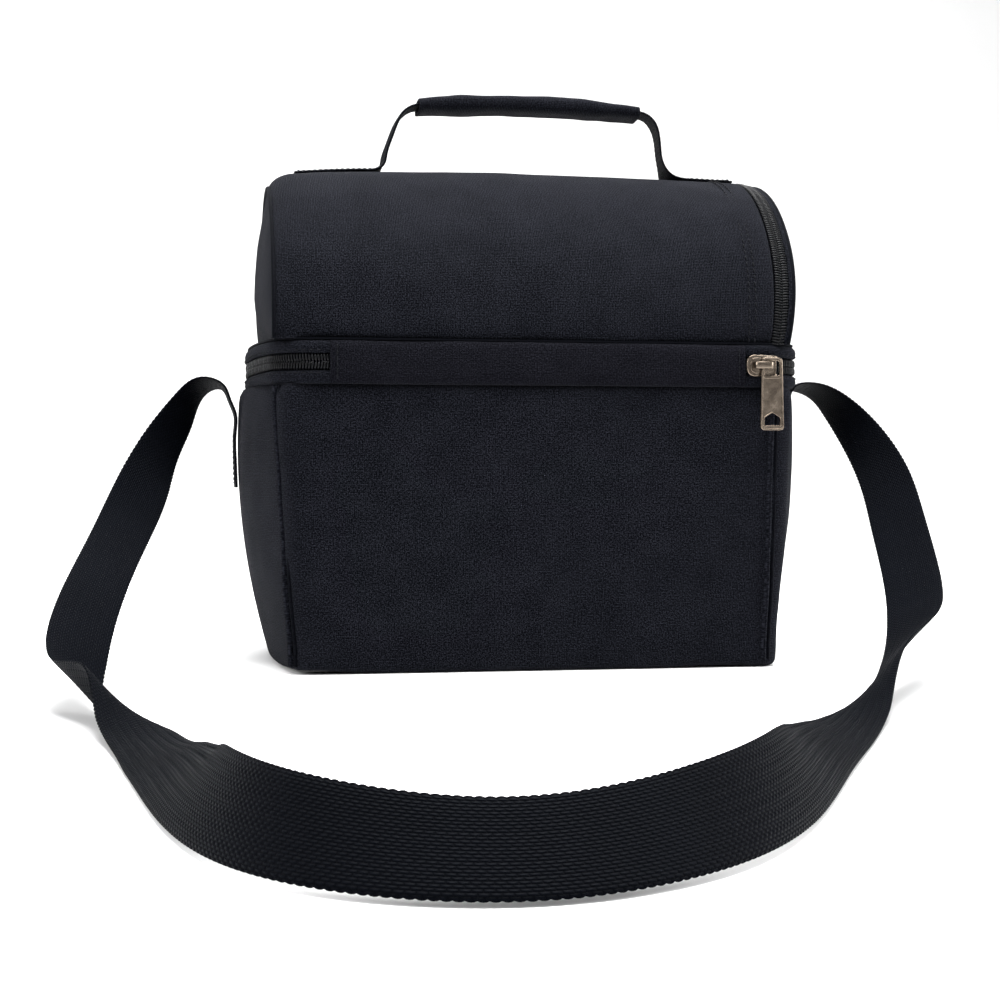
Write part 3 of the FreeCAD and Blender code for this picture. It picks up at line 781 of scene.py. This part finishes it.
def dome_zip():
    for name, body, direction, node in (("dome_zip_inner_coil", "lid", -1, "dome_zip_coil"),
                                        ("dome_zip_outer_coil", "end_flap", 1, "end_flap_zip_coil")):
        x = DOME_ZIP_X + direction * (COIL_GAP + COIL_WIDTH / 2)
        points, outs = arch_rows(x, -0.4 * MM, 240)
        coil(name, points, outs, (float(direction), 0, 0), body, node)
    for name, body, x0, x1, node in (
            ("dome_zip_inner_tape", "lid", DOME_ZIP_X - 12 * MM, DOME_ZIP_X - 0.5 * MM, "dome_zip_tape"),
            ("dome_zip_outer_tape", "end_flap", DOME_ZIP_X + 0.5 * MM, FLAP_SEAM - 0.5 * MM,
             "end_flap_zip_tape")):
        grid = np.array([arch_rows(x, -1.9 * MM)[0] for x in np.linspace(x0, x1, 6)])
        obj = grid_object(name, grid)
        flip_outward(obj, Vector((0, 0, DOME_AXIS_Z)))
        thicken(obj, 0.5 * MM)
        finish_piece(obj, body, TAPE, (node,))


def flap_gusset():
    """The narrow strip between the dome's zip and the seam of its end flap."""
    x0 = DOME_ZIP_X + 4.0 * MM
    columns = []
    for x, sink in ((x0 + 1.0 * MM, 1.2), (x0, 0.5), (x0 + 0.4 * MM, 0.0), (x0 + 1.0 * MM, -0.2),
                    (FLAP_SEAM, 0.1)):
        columns.append(arch_rows(x, -sink * MM)[0])
    obj = grid_object("end_flap_gusset_cloth", np.array(columns))
    flip_outward(obj, Vector((0, 0, DOME_AXIS_Z)))
    thicken(obj, 0.7 * MM)
    finish_piece(obj, "end_flap", CLOTH, ("end_flap_gusset",))


def end_pads():
    """The foam under the barrel and behind its left end, shaped to the rounded corners."""
    xs = np.linspace(SEAM_LEFT + 8 * MM, DOME_ZIP_X - 12.5 * MM, 60)
    obj = grid_object("dome_padding", np.array([arch_rows(x, -1.6 * MM)[0][3:-3] for x in xs]))
    flip_outward(obj, Vector((0, 0, DOME_AXIS_Z)))
    thicken(obj, 2.6 * MM)
    finish_piece(obj, "lid", FOAM, ("dome_foam",))
    end_pad("left_end_padding", SEAM_LEFT, 2.6 * MM, 4.0 * MM, FOAM, "lid",
            "left_end_foam")
    end_pad("end_flap_padding", FLAP_SEAM, -3.6 * MM, 3.2 * MM, FOAM, "end_flap",
            "end_flap_foam")
    end_pad("end_flap_film", FLAP_SEAM, -4.6 * MM, 0.7 * MM, FILM, "end_flap",
            "end_flap_lining")


def end_pad(name, seam_x, start, thick, material, body, node):
    """A flat D-shaped layer just inside an end seam."""
    middle = np.array((seam_x + start, 0.0, DOME_AXIS_Z + 20 * MM))
    grid = []
    for shift, share in ((0.0, 0.01), (0.0, 1.0), (thick, 1.0), (thick, 0.01)):
        ring = arch_rows(seam_x, -5.0 * MM)[0][3:-3]
        ring[:, 0] = middle[0]
        layer = middle + (ring - middle) * share
        layer[:, 0] += shift
        grid.append(layer)
    pad = grid_object(name, np.array(grid), closed=True)
    close_ends(pad)
    finish_piece(pad, body, material, (node,))


def dome():
    dome_barrel()
    end_pads()
    end_panel("left_end_cloth", SEAM_LEFT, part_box("left_end_panel")[0][0], "lid", "left_end_panel", 31.0,
              0.25, 0.50)
    end_panel("end_flap_cloth", FLAP_SEAM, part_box("end_flap_panel")[1][0], "end_flap", "end_flap_panel", 41.0,
              0.9, 1.0)
    piping("left_end_piping_cord", SEAM_LEFT - 0.3 * MM, "lid", "left_end_piping", 0.2 * MM)
    piping("end_flap_piping_cord", FLAP_SEAM + 0.3 * MM, "end_flap", "end_flap_piping", 0.2 * MM)
    flap_gusset()
    dome_zip()


# ---- webbing ---------------------------------------------------------------------------------------

def smooth_path(points, count):
    """Natural cubic spline through the stations; its knots are spaced like the first three columns."""
    points = np.asarray(points, float)
    steps = np.linalg.norm(np.diff(points[:, :3], axis=0), axis=1)
    knots = np.concatenate(([0], np.cumsum(steps)))
    size = len(points)
    matrix = np.eye(size)
    right = np.zeros_like(points)
    for i in range(1, size - 1):
        matrix[i, i - 1:i + 2] = steps[i - 1], 2 * (steps[i - 1] + steps[i]), steps[i]
        ahead = (points[i + 1] - points[i]) / steps[i]
        behind = (points[i] - points[i - 1]) / steps[i - 1]
        right[i] = 6 * (ahead - behind)
    bend = np.linalg.solve(matrix, right)
    at = np.linspace(0, knots[-1], count)
    low = np.clip(np.searchsorted(knots, at, side="right") - 1, 0, size - 2)
    step = steps[low][:, None]
    b = (at - knots[low])[:, None] / step
    a = 1 - b
    curve = a * points[low] + b * points[low + 1]
    return curve + ((a ** 3 - a) * bend[low] + (b ** 3 - b) * bend[low + 1]) * step ** 2 / 6


def even_steps(stations, step):
    """The same curve with its points evenly spaced along its first three columns."""
    lengths = np.linalg.norm(np.diff(stations[:, :3], axis=0), axis=1)
    at = np.concatenate(([0], np.cumsum(lengths)))
    wanted = np.linspace(0, at[-1], int(at[-1] / step) + 1)
    return np.stack([np.interp(wanted, at, column) for column in stations.T], axis=-1), at[-1]


def webbing_strip(name, stations):
    """Ribbed webbing through stations of (centre, direction across, crown), woven as rows of raised ribs."""
    stations, length = even_steps(smooth_path(stations, 1600), RIB_PITCH / 4)
    centre = stations[:, :3]
    share_of_width = np.minimum(np.linalg.norm(stations[:, 3:6], axis=1), 1.0)
    across = stations[:, 3:6] / np.linalg.norm(stations[:, 3:6], axis=1)[:, None]
    crown = stations[:, 6]
    tangent = np.gradient(centre, axis=0)
    up = np.cross(tangent, across)
    up /= np.linalg.norm(up, axis=1)[:, None]
    along = np.arange(len(centre)) * RIB_PITCH / 4
    rows = 28
    columns = []
    for side in (1, -1):
        for k in range(rows + 1) if side == 1 else range(rows, -1, -1):
            share = 2 * k / rows - 1
            phase = along / RIB_PITCH + 0.5 * (k // 2 % 2)
            rib = np.abs(np.sin(math.pi * phase)) ** 0.7
            edge = 1 - abs(share) ** 8
            groove = 0.35 if k % 2 else 1.0
            thick = WEBBING_THICK / 2 * (0.45 + 0.55 * edge)
            height = side * (thick + RIB_RELIEF * (rib * groove - 0.6) * edge)
            serration = 0.35 * MM * (abs(share) ** 12) * (rib - 0.5)
            place = share * share_of_width * WEBBING_WIDTH / 2 + math.copysign(1, share) * serration
            lift = height - crown * share ** 2
            columns.append(centre + across * np.reshape(place, (-1, 1)) + up * lift[:, None])
    grid = np.array(columns)
    grid = np.concatenate((grid, grid[:1]))
    obj = grid_object(name, grid)
    weld(obj, 1e-7)
    close_ends(obj)
    return obj, length


def close_ends(obj):
    """Fill the open rims of a strip or tube."""
    bm = bmesh.new()
    bm.from_mesh(obj.data)
    rims = [edge for edge in bm.edges if edge.is_boundary]
    bmesh.ops.holes_fill(bm, edges=rims, sides=0)
    bmesh.ops.recalc_face_normals(bm, faces=bm.faces)
    bm.to_mesh(obj.data)
    bm.free()


def dome_lie(x):
    """Height of a strip's middle where it lies on the dome's crown."""
    return DOME_AXIS_Z + DOME_R - end_drop(x) + 0.35 * MM + WEBBING_THICK / 2


GRIP_Z = 273.8
# Each half of the handle, in millimetres: end of the sewn tab, foot, yaw of the leg in degrees, and
# the leg's way up as (x, height above the crown).
HANDLE_LEFT = (-109.5, -68.0, -0.8,
               ((-70.0, 0.3), (-66.6, 2.4), (-64.8, 7.5), (-62.4, 15.0), (-59.6, 22.5), (-56.4, 28.2),
                (-51.5, 32.0), (-46.0, 33.3), (-36.0, 34.0)))
HANDLE_RIGHT = (111.5, 86.0, 9.3,
                ((86.0, 0.2), (80.6, 2.0), (77.4, 7.0), (76.0, 14.5), (75.2, 21.5), (73.0, 28.0),
                 (68.6, 32.2), (62.0, 33.4), (52.0, 34.0)))


def handle():
    """Webbing sewn flat to the crown, folding up into two legs that run into a cloth grip."""
    for name, (end, foot, yaw, leg) in (("left", HANDLE_LEFT), ("right", HANDLE_RIGHT)):
        side = 1 if end > 0 else -1
        lean = math.tan(math.radians(yaw))
        drop = side * -0.95 * MM
        stations = []
        for share in (0, 0.25, 0.5, 0.75, 0.92):
            x = (end + (foot + side * 5 - end) * share) * MM
            stations.append((x, 0, dome_lie(x), 0, 1, 0, drop))
        crown = dome_lie(foot * MM)
        for x, rise in leg:
            turn = min(rise / 7.5, 1.0)
            width = 1 - 0.30 * min(max((rise - 26) / 6, 0), 1)
            stations.append((x * MM, 0, crown + rise * MM, lean * turn * width, width, 0, drop * (1 - turn)))
        obj, length = webbing_strip("handle_webbing_" + name, stations)
        finish_piece(obj, None, WEBBING,
                     (name + "_handle_tab", "handle_%s_leg" % name))
        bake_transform(obj)
        box_stitches("handle_stitches_" + name, end * MM, (foot + side * 3) * MM)
    grip_cloth()


def straight_runs(corners, steps):
    """Points along the straight runs between corners; the last corner itself is left out."""
    points = []
    for (ax, ay), (bx, by) in zip(corners, corners[1:]):
        for t in np.linspace(0, 1, steps, endpoint=False):
            points.append((ax + (bx - ax) * t, ay + (by - ay) * t))
    return points


def box_stitches(name, x0, x1):
    """The sewn box that holds a handle end down, with a cross in it and a bar tack at its outer end."""
    inset = 3 * MM
    step = math.copysign(1, x1 - x0)
    left, right = x0 + step * inset, x1
    half = WEBBING_WIDTH / 2 - 2.6 * MM
    corners = ((left, -half), (right, -half), (right, half), (left, half), (left, -half), (right, half))
    path = []
    for x, y in straight_runs(corners, 12):
        fall = 0.95 * MM * (2 * y / WEBBING_WIDTH) ** 2
        path.append((x, y, dome_lie(x) + WEBBING_THICK / 2 - 0.28 * MM - fall))
    stitches(name, path, (0, 0, 1), "lid", 2.7 * MM)
    tack_x = x0 + step * 1.8 * MM
    tack = []
    for y in np.linspace(-half, half, 9):
        fall = 0.95 * MM * (2 * y / WEBBING_WIDTH) ** 2
        tack.append((tack_x, y, dome_lie(tack_x) + WEBBING_THICK / 2 - 0.20 * MM - fall))
    bar = tube_mesh(name + "_bar_tack", tack, 0.65 * MM, 8)
    finish_piece(bar, "lid", THREAD)


def grip_cloth():
    """The padded cloth tube round the middle of the handle: open at both ends, slightly arched."""
    x0, x1 = -48 * MM, 64 * MM
    half_width, half_height = 10.6 * MM, 4.5 * MM
    rings = []
    for t in np.linspace(0, 1, 70):
        x = x0 + (x1 - x0) * t
        middle = 1 - (2 * t - 1) ** 2
        arch = 2.2 * MM * middle
        tall = half_height * (0.76 + 0.24 * min(middle * 1.6, 1.0))
        ring = []
        for angle in np.linspace(0, 2 * math.pi, 56, endpoint=False):
            c, s = math.cos(angle), math.sin(angle)
            y = half_width * math.copysign(abs(c) ** 0.65, c)
            z = tall * math.copysign(abs(s) ** 0.80, s)
            ring.append((x, y, GRIP_Z * MM + arch + z))
        rings.append(ring)
    grid = np.array(rings)
    middle = grid.mean(axis=1, keepdims=True)
    outward = grid - middle
    outward /= np.linalg.norm(outward, axis=2)[:, :, None]
    crumple = cloth_noise(grid, 0.020, 1.1 * MM, 61.0) + cloth_noise(grid, 0.008, 0.35 * MM, 66.0)
    grid += outward * crumple[:, :, None]
    obj = grid_object("handle_grip_cloth", grid, closed=True)
    flip_outward(obj, Vector((8 * MM, 0, GRIP_Z * MM)))
    thicken(obj, 1.3 * MM)
    finish_piece(obj, "handle", CLOTH, ("handle_grip",))


# Shoulder strap: centre of the webbing in millimetres and the direction from its back edge to its
# front edge, from the left end over its arch, along the floor in front and up to the right end.
STRAP_ROUTE = (
    (-141, 0, 127, 0.00, -1.00, 0.00),
    (-144, -1, 133, 0.00, -1.00, 0.05),
    (-152, -4, 134, -0.05, -0.95, 0.25),
    (-162, -11, 123, -0.25, -0.75, 0.55),
    (-172, -22, 106, -0.50, -0.60, 0.60),
    (-180, -39, 88, -0.80, -0.35, 0.45),
    (-188, -70, 68, -0.97, -0.05, 0.20),
    (-199, -129, 41, -0.98, 0.02, 0.19),
    (-203, -172, 21, -0.90, 0.02, 0.42),
    (-201, -197, 11.7, -0.70, 0.00, 0.72),
    (-189, -230, 11.9, -0.60, -0.10, 0.78),
    (-178, -264, 5, -0.97, -0.10, 0.20),
    (-171, -300, 3, -0.99, -0.10, -0.05),
    (-166, -338, 5, -0.94, -0.05, -0.30),
    (-161, -384, 8, -0.84, 0.00, -0.54),
    (-155, -440, 12, -0.50, -0.20, -0.84),
    (-134, -492, 12.5, -0.15, -0.50, -0.85),
    (-90, -511, 10.5, 0.05, -0.68, -0.73),
    (-40, -492, 12.5, 0.20, -0.50, -0.83),
    (-3, -443, 12.8, 0.40, -0.20, -0.89),
    (22, -389, 9.5, 0.75, 0.10, -0.64),
    (49, -332, 5.6, 0.93, 0.10, -0.35),
    (80, -270, 4, 0.97, 0.05, 0.10),
    (112, -216, 13, 0.62, -0.12, 0.78),
    (151, -152, 30, 0.85, -0.35, 0.40),
    (171, -83, 69, 0.87, -0.40, 0.28),
    (174, -60, 88, 0.70, -0.55, 0.42),
    (171, -38, 108, 0.40, -0.75, 0.50),
    (163, -19, 126, 0.10, -0.90, 0.35),
    (153, -6, 135, -0.05, -0.97, 0.15),
    (144, -1, 134, 0.00, -1.00, 0.05),
    (141, 0, 127, 0.00, -1.00, 0.00),
)
ANCHOR_HEIGHTS = (84, 98, 111, 119)


def sewn_end(side, height):
    """A station of the strap where it is stitched to a gusset."""
    shape = body_shape(height * MM)
    x = side * (shape[0] + shape[2] + 0.7 * MM + WEBBING_THICK / 2)
    return (x, 0, height * MM, 0, -1, 0, 0)


def shoulder_strap():
    stations = [sewn_end(-1, height) for height in ANCHOR_HEIGHTS]
    for x, y, z, *turn in STRAP_ROUTE:
        turn = np.array(turn) / np.linalg.norm(turn)
        stations.append((x * MM, y * MM, z * MM, *turn, 0))
    stations += [sewn_end(1, height) for height in reversed(ANCHOR_HEIGHTS)]
    obj, length = webbing_strip("shoulder_strap_webbing", stations)
    finish_piece(obj, None, WEBBING, ("shoulder_strap", "left_strap_anchor", "right_strap_anchor"))
    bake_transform(obj)
    half = WEBBING_WIDTH / 2 - 2.4 * MM
    for name, side in (("left", -1), ("right", 1)):
        corners = ((-half, 86), (half, 86), (half, 110), (-half, 110), (-half, 86), (half, 110))
        path = []
        for y, z in straight_runs(corners, 10):
            x = sewn_end(side, z)[0] + side * (WEBBING_THICK / 2 - 0.25 * MM)
            path.append((x, y, z * MM))
        stitches("strap_stitches_" + name, path, (side, 0, 0), "base", 2.7 * MM)


# ---- sliders and pullers --------------------------------------------------------------------------

def rounded(points, radius, steps=6):
    """A closed polygon with its corners rounded: each corner becomes a short curve."""
    points = [np.array(p, float) for p in points]
    count = len(points)
    loop = []
    for i in range(count):
        before, here, after = points[i - 1], points[i], points[(i + 1) % count]
        reach_a = min(radius, np.linalg.norm(before - here) / 2.05)
        reach_b = min(radius, np.linalg.norm(after - here) / 2.05)
        a = here + (before - here) / np.linalg.norm(before - here) * reach_a
        b = here + (after - here) / np.linalg.norm(after - here) * reach_b
        for t in np.linspace(0, 1, steps):
            loop.append((1 - t) ** 2 * a + 2 * t * (1 - t) * here + t ** 2 * b)
    return loop


def plate(loops, thick, bevel):
    """A flat plate in millimetres, outline first and then its holes, with softened edges."""
    curve = bpy.data.curves.new("plate", "CURVE")
    curve.dimensions = "2D"
    curve.fill_mode = "BOTH"
    curve.extrude = (thick / 2 - bevel) * MM
    curve.bevel_depth = bevel * MM
    curve.bevel_resolution = 2
    curve.offset = -bevel * MM
    for loop in loops:
        spline = curve.splines.new("POLY")
        spline.points.add(len(loop) - 1)
        for point, (x, y) in zip(spline.points, loop):
            point.co = (x * MM, y * MM, 0, 1)
        spline.use_cyclic_u = True
    source = bpy.data.objects.new("plate", curve)
    bpy.context.scene.collection.objects.link(source)
    depsgraph = bpy.context.evaluated_depsgraph_get()
    mesh = bpy.data.meshes.new_from_object(source.evaluated_get(depsgraph))
    bpy.data.objects.remove(source)
    obj = bpy.data.objects.new("plate", mesh)
    bpy.context.scene.collection.objects.link(obj)
    return obj


def faced(obj, out):
    """Stand a flat plate up to face the hinge side, its middle at that y in millimetres."""
    obj.data.transform(Matrix.Translation((0, out * MM, 0)) @ Matrix.Rotation(math.pi / 2, 4, "X"))
    return obj


def slider_body():
    """A slider at the origin: x along the zip, z across it, -y outward from the coil."""
    edge = ((-7.4, 2.2), (-6.4, 4.2), (-4.2, 5.2), (-1.6, 5.0), (2.0, 4.5), (5.6, 4.3), (6.8, 3.4))
    top = rounded(edge + tuple((x, -z) for x, z in reversed(edge)), 1.8)
    inner = [np.array(p) * (0.80, 0.74) for p in top]
    parts = [faced(plate([top], 1.5, 0.45), -2.2), faced(plate([inner], 0.7, 0.3), -3.1)]
    for z in (-1, 1):
        rail = [(x, -0.9, z * (0.55 + 4.1 - 0.08 * max(x, 0))) for x in np.linspace(-3.4, 7.4, 12)]
        parts.append(tube_mesh("rail", np.array(rail) * MM, 0.62 * MM, 8))
    arch = []
    for x, y in ((-4.5, -2.9), (-4.6, -5.6), (-3.2, -7.2), (0, -7.6), (3.6, -7.2), (5.0, -5.6), (5.0, -2.9),
                 (3.7, -2.9), (3.7, -5.4), (3.0, -6.1), (0, -6.4), (-2.6, -6.1), (-3.3, -5.2), (-3.2, -2.9)):
        arch.append((x, y))
    bridge = plate([rounded(arch, 0.9, 4)], 3.2, 0.35)
    parts.append(bridge)
    wedge = rounded(((-2.5, -0.6), (2.5, -0.6), (2.5, 0.6), (-2.5, 0.6)), 0.5)
    parts.append(faced(plate([wedge], 4.2, 0.1), 0.5))
    pad = rounded(((-3.5, -2.0), (3.5, -2.0), (3.5, 2.0), (-3.5, 2.0)), 1.0)
    parts.append(faced(plate([pad], 0.8, 0.2), 2.9))
    return join(parts, "slider")


def box_loop(half, low, high, radius, narrow=0.0):
    corners = ((-half, low), (half, low), (half - narrow, high), (-half + narrow, high))
    return rounded(corners, radius)


def puller_tab():
    """A flat pull tab hanging from the origin: window for the bridge, shaped hole below, raised rims."""
    window = box_loop(3.7, -5.2, 1.8, 1.3, 0.4)
    gable = ((-3.8, -28.2), (3.8, -28.2), (3.8, -24.6), (0.0, -22.4), (-3.8, -24.6))
    hole = rounded(gable, 0.9)
    outer = box_loop(5.7, -30.6, 3.4, 2.2, 0.8)
    inner = box_loop(4.75, -29.6, 2.5, 1.6, 0.7)
    parts = [faced(plate([outer, window, hole], 1.1, 0.2), 0), faced(plate([outer, inner], 1.8, 0.35), 0)]
    collar = rounded([np.array(p) * 1.22 + (0, 5.5) for p in gable], 1.0)
    parts.append(faced(plate([collar, hole], 1.6, 0.25), 0))
    frame_loop = box_loop(4.7, -6.6, 2.6, 1.6, 0.4)
    parts.append(faced(plate([frame_loop, window], 1.7, 0.3), 0))
    return join(parts, "puller")


def sliders():
    main = Vector((103 * MM, -BAND_DEPTH, ZIP_Z))
    dome_z = 160.5 * MM
    tilt = math.asin((dome_z - DOME_AXIS_Z) / DOME_R)
    axis = Vector((DOME_ZIP_X, 0, DOME_AXIS_Z))
    turned = Matrix.Rotation(math.pi, 4, "Z") @ Matrix.Rotation(math.pi / 2, 4, "Y")
    lean = Matrix.Translation(axis) @ Matrix.Rotation(tilt, 4, "X")
    bar_r = DOME_R + 4.7 * MM
    bar = axis + Vector((0, bar_r * math.cos(tilt), bar_r * math.sin(tilt) - 2.6 * MM))
    places = (
        ("main_slider", slider_body, Matrix.Translation(main)),
        ("main_puller", puller_tab, Matrix.Translation(main + Vector((4.0, -4.7, 0.4)) * MM)),
        ("dome_slider", slider_body, lean @ Matrix.Translation((0, DOME_R, 0)) @ turned),
        ("dome_puller", puller_tab, Matrix.Translation(bar) @ Matrix.Rotation(math.pi, 4, "Z")),
    )
    for node, make, place in places:
        obj = make()
        obj.name = node + "_metal"
        obj.data.transform(place)
        finish_piece(obj, node, METAL, (node,))


# ---- inside ------------------------------------------------------------------------------------------

def inside():
    """The insulation, linings and board stay as the CAD has them, with their own materials."""
    finishes = (
        (FILM, "body_lining", "divider_under_lining", "divider_top_lining", "dome_lining"),
        (FOAM, "wall_foam", "base_foam", "divider_foam"),
        (BOARD, "base_board"),
        (TRIM_AND_CREASE_SHADE_CLOTH, "divider_hem"),
    )
    for material, *nodes in finishes:
        for node in nodes:
            paint(node, material)


# ---- studio ------------------------------------------------------------------------------------------

CAMERA_PLACE = (-0.1560, -0.8864, 0.0903)
CAMERA_TURN = -9.6
CAMERA_LENS = 64.21
CAMERA_SHIFT = -0.0255


def studio():
    """A pale sweep of paper under and behind the bag, and large soft lights."""
    scene = bpy.context.scene
    profile = [(y, 0.0) for y in (-2.5, -1.0, 0.0, 1.0)]
    for turn in np.linspace(0, math.pi / 2, 16)[1:]:
        profile.append((1.0 + 1.2 * math.sin(turn), 1.2 - 1.2 * math.cos(turn)))
    profile += [(2.2, 3.5)]
    grid = np.array([[(x, y, z - 0.0002) for y, z in profile] for x in (-3.0, 3.0)])
    paper = grid_object("paper_sweep", grid)
    material, _, shader = new_material("pale_paper")
    shader.inputs["Base Color"].default_value = (0.90, 0.90, 0.90, 1)
    shader.inputs["Roughness"].default_value = 0.9
    paper.data.materials.append(material)
    world = bpy.data.worlds.new("studio")
    world.use_nodes = True
    background = world.node_tree.nodes["Background"]
    background.inputs["Color"].default_value = (1.0, 1.0, 1.0, 1)
    background.inputs["Strength"].default_value = 0.50
    scene.world = world
    for name, place, aim, size, power in (
            ("top_light", (0.05, -0.10, 1.20), (0, 0, 0.15), 0.9, 44.0),
            ("left_light", (-1.40, -0.25, 0.70), (0, 0, 0.12), 0.8, 15.0),
            ("right_light", (1.40, -0.35, 0.60), (0, 0, 0.12), 0.8, 18.0),
            ("back_light", (0.0, 1.4, 1.6), (0, 1.5, 0.0), 1.6, 12.0)):
        light = bpy.data.lights.new(name, "AREA")
        light.size = size
        light.energy = power
        lamp = bpy.data.objects.new(name, light)
        lamp.location = place
        lamp.rotation_euler = (Vector(aim) - Vector(place)).to_track_quat("-Z", "Y").to_euler()
        scene.collection.objects.link(lamp)
    camera = bpy.data.cameras.new("camera")
    camera.sensor_width = 36.0
    camera.lens = CAMERA_LENS
    camera.shift_y = CAMERA_SHIFT
    eye = bpy.data.objects.new("camera", camera)
    eye.location = CAMERA_PLACE
    eye.rotation_euler = (math.pi / 2, 0, math.radians(CAMERA_TURN))
    scene.collection.objects.link(eye)
    scene.camera = eye
    scene.view_settings.view_transform = "Standard"


lower_body()
corner_folds()
band()
main_zip()
dome()
handle()
shoulder_strap()
sliders()
inside()
studio()
